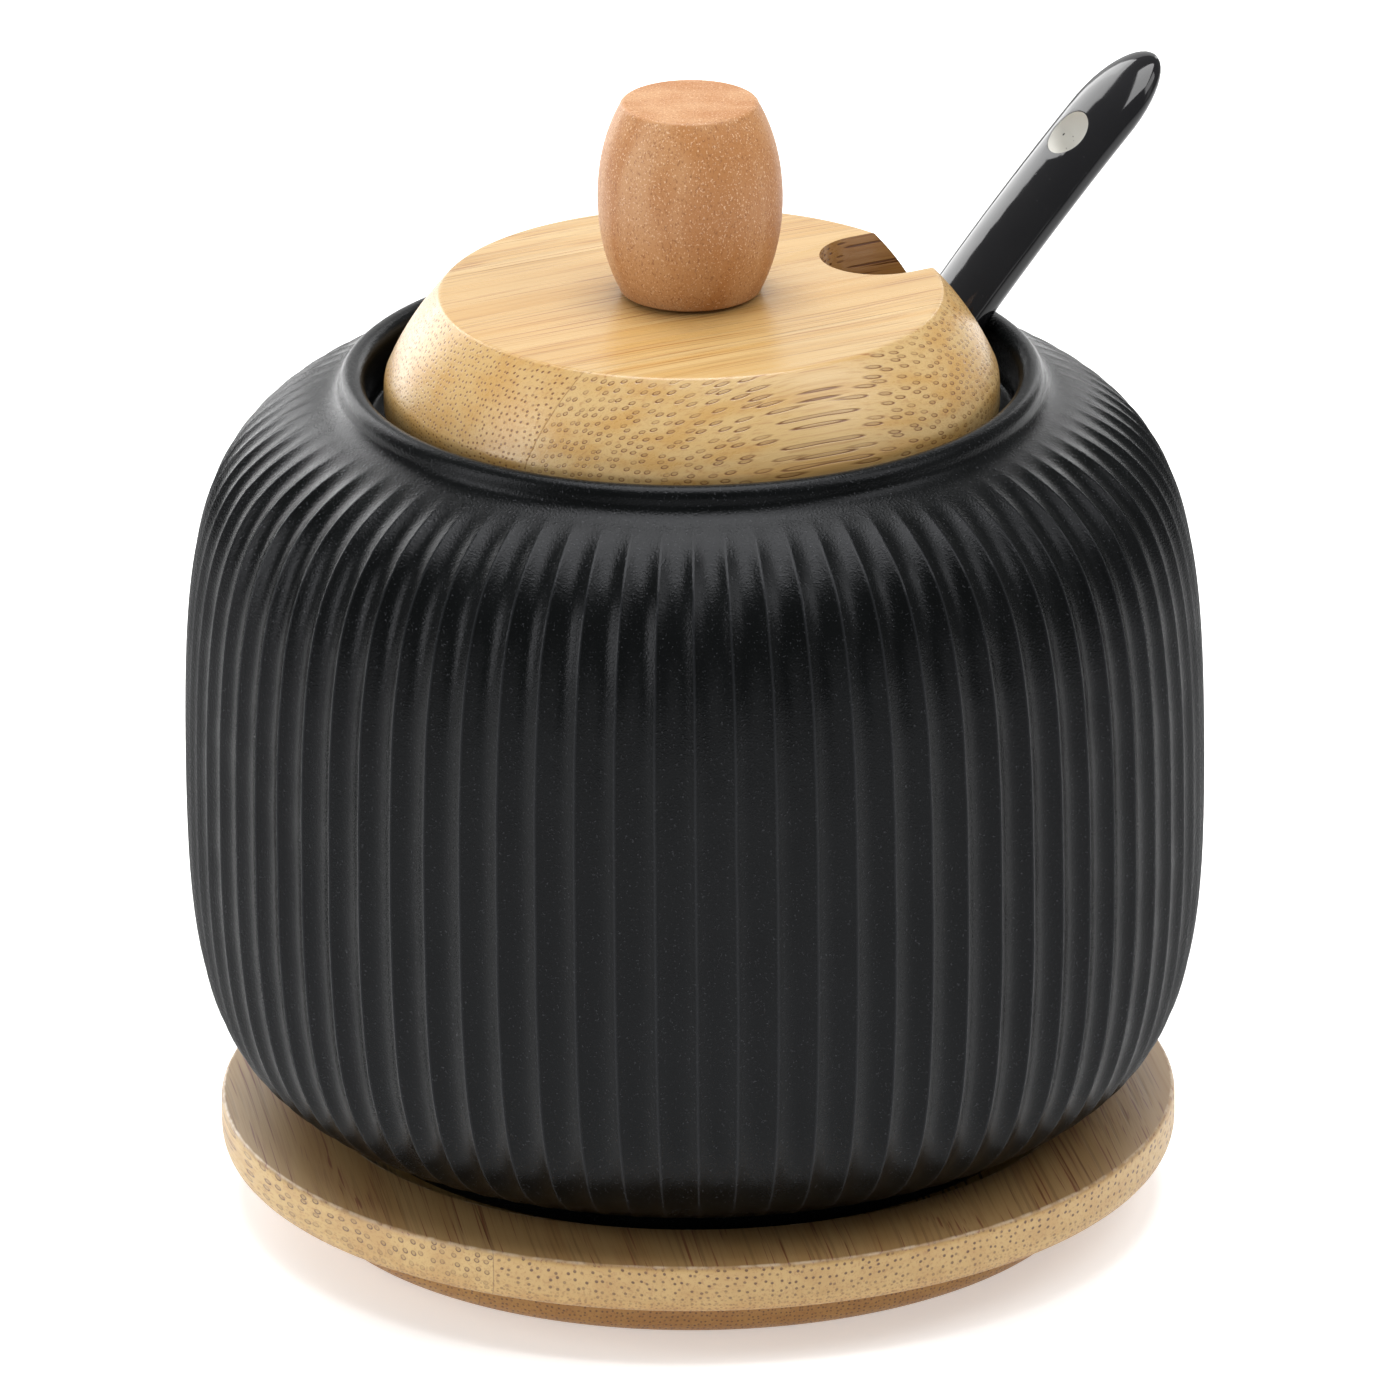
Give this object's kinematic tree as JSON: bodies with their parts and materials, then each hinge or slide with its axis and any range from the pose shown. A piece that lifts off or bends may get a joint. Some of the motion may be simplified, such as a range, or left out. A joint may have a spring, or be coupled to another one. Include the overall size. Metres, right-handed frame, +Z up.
{
  "type": "sugar bowl",
  "caption": "Fluted round ceramic sugar bowl with a notched wooden lid and turned knob, a ceramic spoon through the notch, and a round wooden saucer.",
  "frame": {"origin": "centre of the saucer's underside, on the surface the set stands on", "axes": "+Z up along the axis of the bowl; the lid's notch and the spoon point 29 degrees from +X towards +Y; -Y is the front"},
  "size_m": [0.1, 0.1, 0.1132],
  "materials": {
    "saucer_bamboo": "turned and sanded bamboo board, pale yellow edge with fibre dots, greyer top face, oiled",
    "matt_black_glaze": "satin-matt black glaze, fine speckle in the highlights, over vertical flutes",
    "lid_bamboo": "turned and sanded bamboo board with fibre streaks on top and dots on the slope, oiled",
    "knob_beech": "turned beech, fine flecks, satin",
    "screw_steel": "bright zinc-plated steel",
    "gloss_black_glaze": "high-gloss black glaze"
  },
  "bodies": {
    "saucer": {"saucer": "saucer_bamboo"},
    "bowl": {"bowl": "matt_black_glaze"},
    "lid": {"lid": "lid_bamboo", "knob": "knob_beech", "knob_screw": "screw_steel"},
    "spoon": {"spoon": "gloss_black_glaze"}
  },
  "joints": [
    {"name": "bowl_lift", "type": "slide", "parent": "saucer", "child": "bowl", "axis": [0, 0, 1], "range_m": [0, 0.04]},
    {"name": "lid_lift", "type": "slide", "parent": "bowl", "child": "lid", "axis": [0, 0, 1], "range_m": [0, 0.12]},
    {"name": "spoon_draw", "type": "slide", "parent": "bowl", "child": "spoon", "axis": [0.2991, 0.1658, 0.9397], "range_m": [0, 0.09]}
  ],
  "couplings": [
    {"joint": "spoon_draw", "follows": "lid_lift", "ratio": 0.75}
  ]
}
